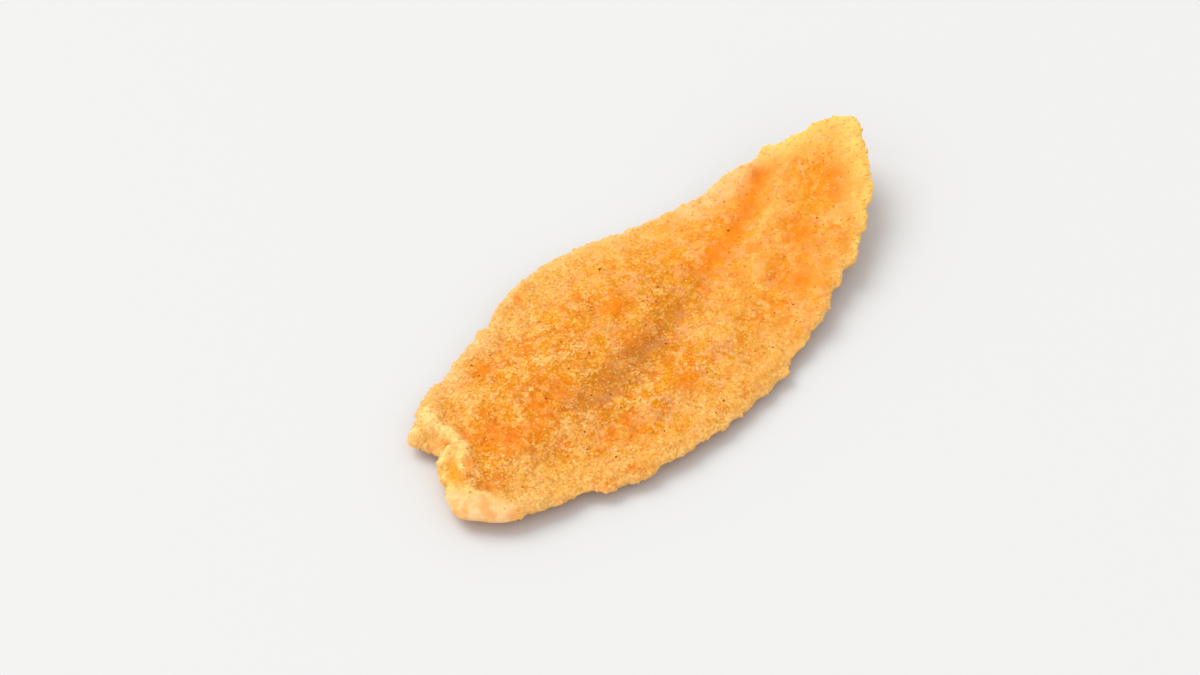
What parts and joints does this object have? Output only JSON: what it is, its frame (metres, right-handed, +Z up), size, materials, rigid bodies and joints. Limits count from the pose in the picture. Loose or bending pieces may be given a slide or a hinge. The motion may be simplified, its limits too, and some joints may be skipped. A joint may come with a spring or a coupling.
{
  "type": "fish koliwada",
  "caption": "Thin fried fish fillet in a grainy golden crust, curled up at the tail, with a groove along its middle.",
  "frame": {"origin": "middle of the fillet's outline, at the height of the table it lies on", "axes": "+X from the broad head end to the narrow tail, +Y towards the back edge, +Z up out of the crust's top"},
  "size_m": [0.179, 0.0798, 0.0193],
  "materials": {
    "crust": "matt, grainy fried crust"
  },
  "bodies": {
    "root": {"fillet": "crust"}
  },
  "joints": []
}
